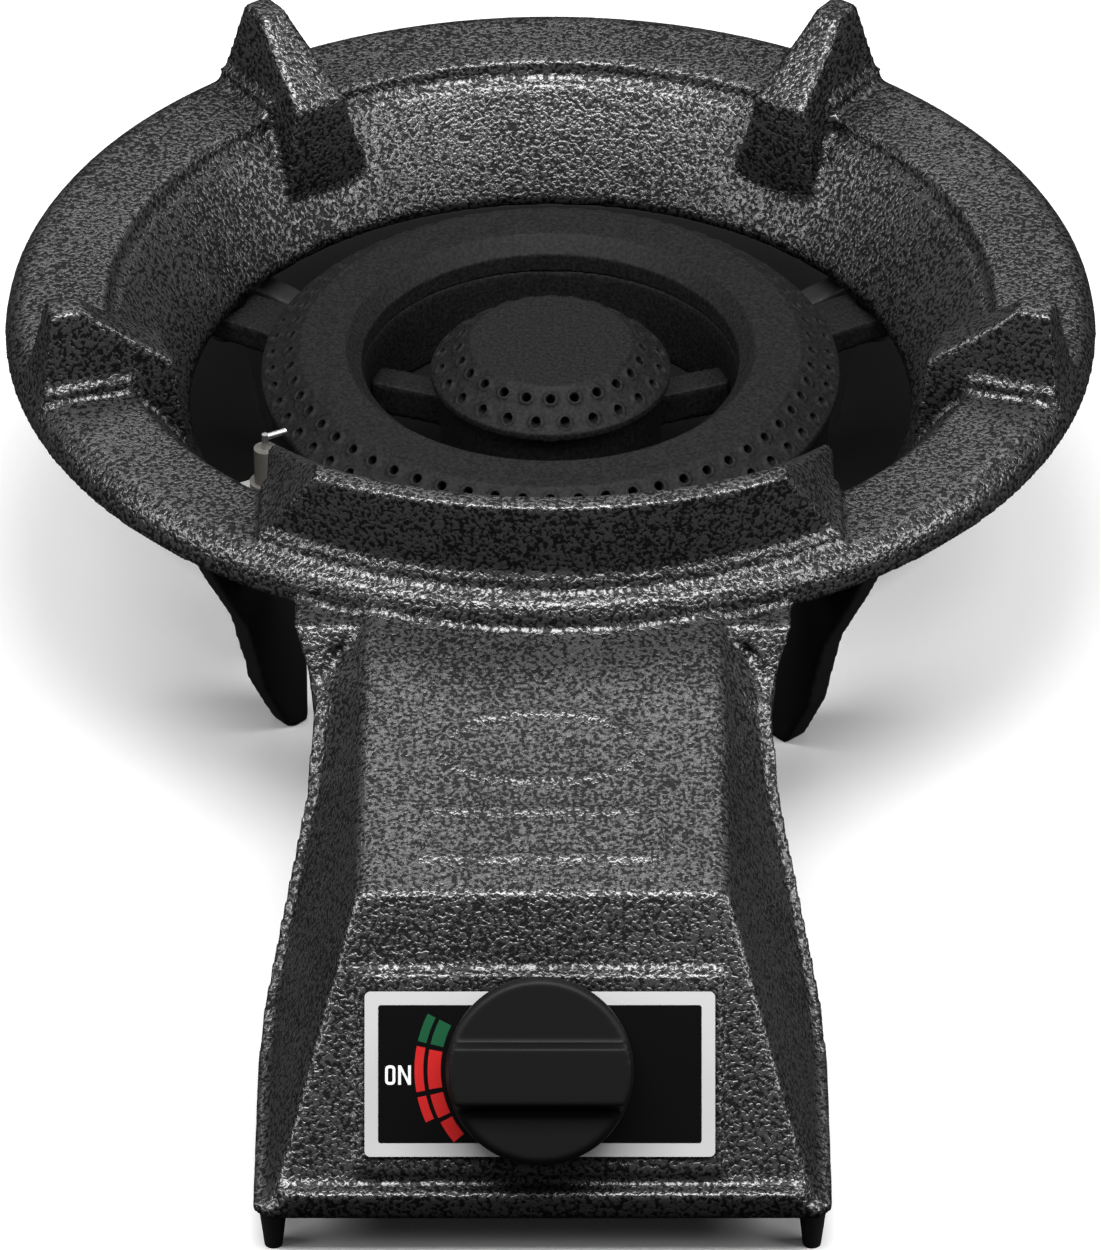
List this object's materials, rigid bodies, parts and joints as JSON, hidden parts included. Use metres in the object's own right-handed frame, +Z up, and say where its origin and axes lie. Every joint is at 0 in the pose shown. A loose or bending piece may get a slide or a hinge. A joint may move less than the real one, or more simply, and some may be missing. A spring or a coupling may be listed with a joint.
{
  "type": "single-burner gas stove",
  "caption": "Low cast iron gas stove: round dish with pot claws over a two-ring burner, and a sloping front housing with a push-and-turn knob.",
  "frame": {"origin": "middle of the footprint, on the ground", "axes": "+Z up, -Y to the front with the knob, +X to the right as seen from the front"},
  "size_m": [0.334, 0.5008, 0.1385],
  "materials": {
    "cast_paint": "black hammertone paint, pitted, semi-gloss",
    "leg_paint": "plain black paint",
    "burner_iron": "dark heat-blackened casting",
    "cap_iron": "dark heat-blackened casting",
    "steel": "zinc-plated steel",
    "bolt_steel": "blackened steel",
    "brass": "machined brass",
    "tap_alloy": "die-cast alloy",
    "bezel_silver": "bright satin",
    "dial_black": "black printed face",
    "knob_black": "moulded black plastic",
    "igniter_plastic": "moulded plastic",
    "ceramic": "glazed white ceramic",
    "wire_cover": "silicone-covered ignition wire",
    "seal": "gas seal"
  },
  "bodies": {
    "stove_frame": {"cast_body": "cast_paint", "leg_front_left": "leg_paint", "leg_front_right": "leg_paint", "leg_rear_left": "leg_paint", "leg_rear_right": "leg_paint", "leg_bolts": "bolt_steel", "front_foot_left": "leg_paint", "front_foot_right": "leg_paint", "burner_ring": "burner_iron", "burner_cup": "burner_iron", "mixing_tubes": "burner_iron", "burner_bolts": "bolt_steel", "outer_shutter_clip": "steel", "inner_shutter_clip": "steel", "outer_nozzle": "brass", "inner_nozzle": "brass", "valve_body": "tap_alloy", "stem_spring": "steel", "valve_bracket": "steel", "bracket_screws": "steel", "igniter_housing": "igniter_plastic", "ignition_wire": "wire_cover", "wire_clip": "steel", "inlet_seal": "seal", "inlet_elbow": "brass", "hose_nipple": "brass", "bezel_frame": "bezel_silver", "dial_face": "dial_black", "electrode_bracket": "steel", "electrode_ceramic": "ceramic", "electrode_tip": "steel", "electrode_screw": "steel"},
    "tap_plug": {"valve_plug": "brass"},
    "knob_set": {"knob": "knob_black", "knob_insert": "steel", "valve_stem": "steel", "stem_clip": "steel"},
    "trip": {"trip_plate": "steel", "igniter_plunger": "igniter_plastic"},
    "outer_shutter": {"outer_air_shutter": "steel"},
    "inner_shutter": {"inner_air_shutter": "steel"},
    "outer_cap": {"outer_burner_cap": "cap_iron"},
    "inner_cap": {"inner_burner_cap": "cap_iron"}
  },
  "joints": [
    {"name": "knob_turn", "type": "hinge", "parent": "stove_frame", "child": "tap_plug", "pos_m": [-0.003, -0.22132, 0.04981], "axis": [0, -0.8038, 0.5949], "range_deg": [-90, 75]},
    {"name": "knob_push", "type": "slide", "parent": "tap_plug", "child": "knob_set", "axis": [0, 0.8038, -0.5949], "range_m": [0, 0.0035], "stiffness_N_per_m": 900, "springref_m": -0.0025, "deforming": ["stem_spring"]},
    {"name": "igniter_trip", "type": "slide", "parent": "stove_frame", "child": "trip", "axis": [0, 0.8038, -0.5949], "range_m": [0, 0.0035]},
    {"name": "outer_shutter_turn", "type": "hinge", "parent": "stove_frame", "child": "outer_shutter", "pos_m": [0.014, -0.15258, 0.046], "axis": [0, 1, 0], "range_deg": [0, 45]},
    {"name": "inner_shutter_turn", "type": "hinge", "parent": "stove_frame", "child": "inner_shutter", "pos_m": [-0.02, -0.15258, 0.046], "axis": [0, -1, 0], "range_deg": [0, 45]},
    {"name": "outer_cap_lift", "type": "slide", "parent": "stove_frame", "child": "outer_cap", "axis": [0, 0, 1], "range_m": [0, 0.05]},
    {"name": "inner_cap_lift", "type": "slide", "parent": "stove_frame", "child": "inner_cap", "axis": [0, 0, 1], "range_m": [0, 0.05]}
  ],
  "couplings": [
    {"joint": "igniter_trip", "follows": "knob_push", "ratio": 1}
  ]
}
